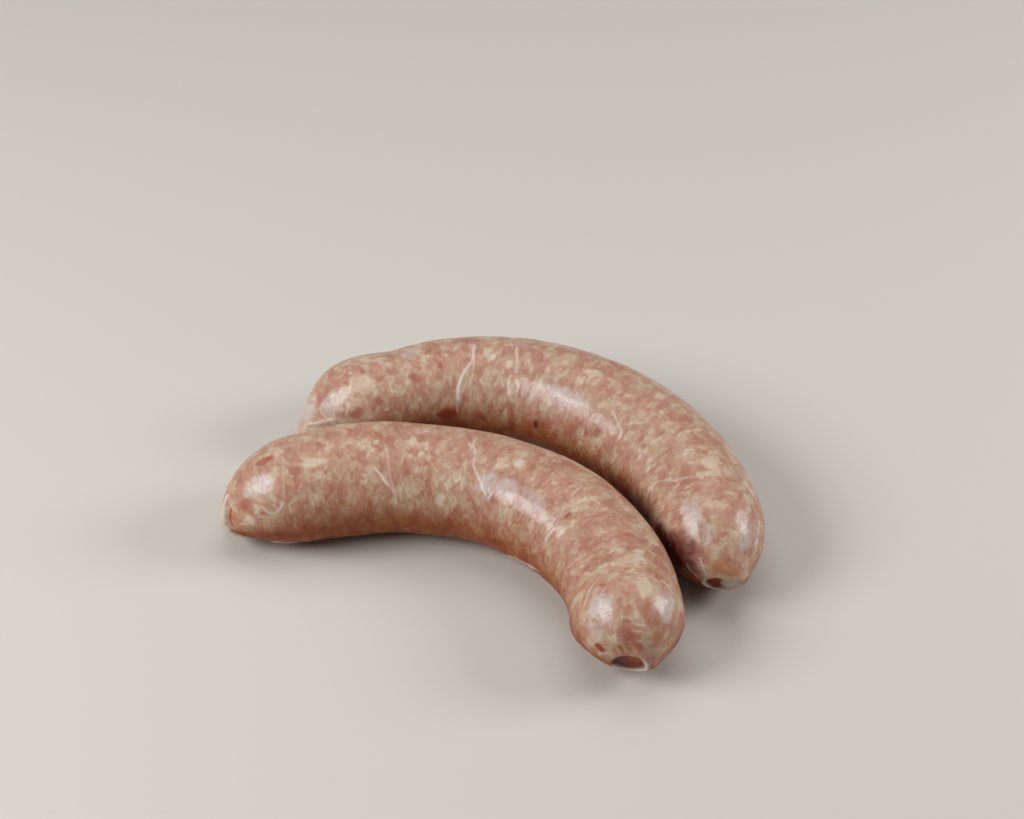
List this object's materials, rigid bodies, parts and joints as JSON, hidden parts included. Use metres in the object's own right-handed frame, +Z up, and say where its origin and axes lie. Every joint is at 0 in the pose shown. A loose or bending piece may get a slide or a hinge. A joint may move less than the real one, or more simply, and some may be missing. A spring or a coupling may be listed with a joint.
{
  "type": "sausage link string",
  "caption": "Fresh coarse-ground pork sausage links, curved and lying side by side, joined at one end by a twist of casing, with gathered cut collars on the free ends.",
  "frame": {"origin": "on the surface the string lies on, under the middle of its bounding box", "axes": "+Z up; +X along the longer side of the pair, from the joined tapered tips towards the collared ends; +Y from the front link to the rear link"},
  "size_m": [0.1579, 0.1312, 0.0319],
  "materials": {
    "sausage": "wet translucent casing over coarse-ground pork, mottled lean pink and cream fat, with pale threads and pearly patches"
  },
  "bodies": {
    "root": {"sausage_string": "sausage"}
  },
  "joints": []
}
